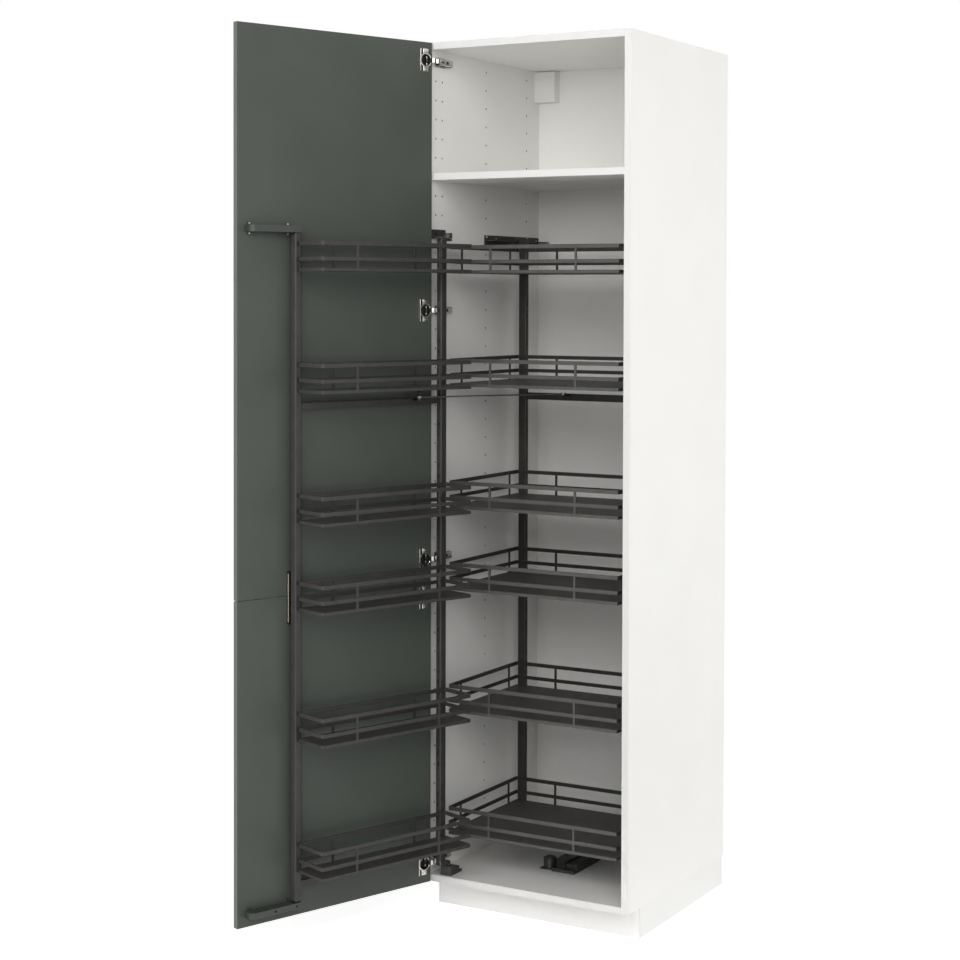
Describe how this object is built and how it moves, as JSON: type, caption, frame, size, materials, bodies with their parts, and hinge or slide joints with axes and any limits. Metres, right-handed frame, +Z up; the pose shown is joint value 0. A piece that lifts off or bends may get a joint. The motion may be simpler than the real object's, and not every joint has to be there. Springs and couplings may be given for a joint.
{
  "type": "tall kitchen larder cabinet",
  "caption": "Tall kitchen larder cabinet with a hinged door, a swing-out basket rack that follows the door and an inner basket frame that slides forward as it opens.",
  "frame": {"origin": "on the floor, at the middle of the plinth's front face", "axes": "+Z up, +Y from the front to the back of the cabinet, +X to the right seen from the front"},
  "size_m": [0.7904, 1.1666, 2.28],
  "materials": {
    "carcass_board": "white melamine on chipboard",
    "plinth_board": "white melamine on chipboard",
    "dowel_wood": "plain beech",
    "leg_plastic": "moulded black plastic",
    "cover_plastic": "moulded white plastic",
    "fitting_steel": "zinc plated",
    "hinge_nickel": "nickel plated",
    "dark_fitting": "dark grey powder coat",
    "rail_metal": "dark grey green powder coat",
    "black_plastic": "moulded black plastic",
    "bush_bronze": "plain bronze",
    "door_front": "matt grey green lacquer",
    "frame_metal": "dark warm grey powder coat",
    "tray_board": "dark grey laminated board"
  },
  "bodies": {
    "cabinet": {"left_side_panel": "carcass_board", "right_side_panel": "carcass_board", "top_panel": "carcass_board", "bottom_panel": "carcass_board", "fixed_shelf": "carcass_board", "back_panel": "carcass_board", "carcass_dowels": "dowel_wood", "plinth_front": "plinth_board", "plinth_sides": "plinth_board", "plinth_clips": "leg_plastic", "levelling_legs": "leg_plastic", "leg_sockets": "leg_plastic", "suspension_covers": "cover_plastic", "suspension_brackets": "fitting_steel", "hinge_plates": "fitting_steel", "hinge_arms": "hinge_nickel", "hinge_depth_screws": "fitting_steel", "top_pivot_bracket": "dark_fitting", "bottom_pivot_bearing": "dark_fitting", "pivot_bushes": "bush_bronze", "upper_guide_plate": "dark_fitting", "floor_guide": "black_plastic", "cabinet_screws": "fitting_steel"},
    "door": {"upper_door": "door_front", "lower_door": "door_front", "joining_plate": "hinge_nickel", "hinge_cups": "hinge_nickel", "hinge_pins": "fitting_steel", "door_guide_rails": "rail_metal", "door_screws": "fitting_steel"},
    "guide_shoe_pair": {"guide_shoes": "black_plastic"},
    "rack": {"pivot_post": "frame_metal", "pivot_arms": "frame_metal", "free_post": "frame_metal", "free_post_caps": "black_plastic", "rack_crossbars": "frame_metal", "ball_stud": "fitting_steel", "door_basket_1": "frame_metal", "door_basket_2": "frame_metal", "door_basket_3": "frame_metal", "door_basket_4": "frame_metal", "door_basket_5": "frame_metal", "door_basket_6": "frame_metal", "door_trays": "tray_board"},
    "rod": {"pull_rod": "frame_metal"},
    "inner_frame": {"frame_posts": "frame_metal", "frame_post_caps": "black_plastic", "frame_crossbars": "frame_metal", "rod_bracket": "fitting_steel", "floor_runner": "black_plastic", "upper_glide": "black_plastic", "inner_basket_1": "frame_metal", "inner_basket_2": "frame_metal", "inner_basket_3": "frame_metal", "inner_basket_4": "frame_metal", "inner_basket_5": "frame_metal", "inner_basket_6": "frame_metal", "inner_trays": "tray_board"}
  },
  "joints": [
    {"name": "door_swing", "type": "hinge", "parent": "cabinet", "child": "door", "pos_m": [-0.2849, -0.09, 1.18], "axis": [0, 0, 1], "range_deg": [0, 110]},
    {"name": "rack_swing", "type": "hinge", "parent": "cabinet", "child": "rack", "pos_m": [-0.2392, -0.058, 0.95], "axis": [0, 0, 1], "range_deg": [0, 110]},
    {"name": "frame_slide", "type": "slide", "parent": "cabinet", "child": "inner_frame", "axis": [0, 1, 0], "range_m": [0, 0.14483]},
    {"name": "shoe_slide", "type": "slide", "parent": "door", "child": "guide_shoe_pair", "axis": [-0.342, -0.9397, 0], "range_m": [0, 0.09141]},
    {"name": "rod_swing", "type": "hinge", "parent": "rack", "child": "rod", "pos_m": [-0.2599, -0.16167, 1.3589], "axis": [0, 0, 1], "range_deg": [-95.63, 0]}
  ],
  "couplings": [
    {"joint": "rack_swing", "follows": "door_swing", "ratio": 1},
    {"joint": "frame_slide", "follows": "door_swing", "m_per_rad": 0.075436},
    {"joint": "shoe_slide", "follows": "door_swing", "m_per_rad": 0.047608},
    {"joint": "rod_swing", "follows": "door_swing", "ratio": -0.86927}
  ]
}
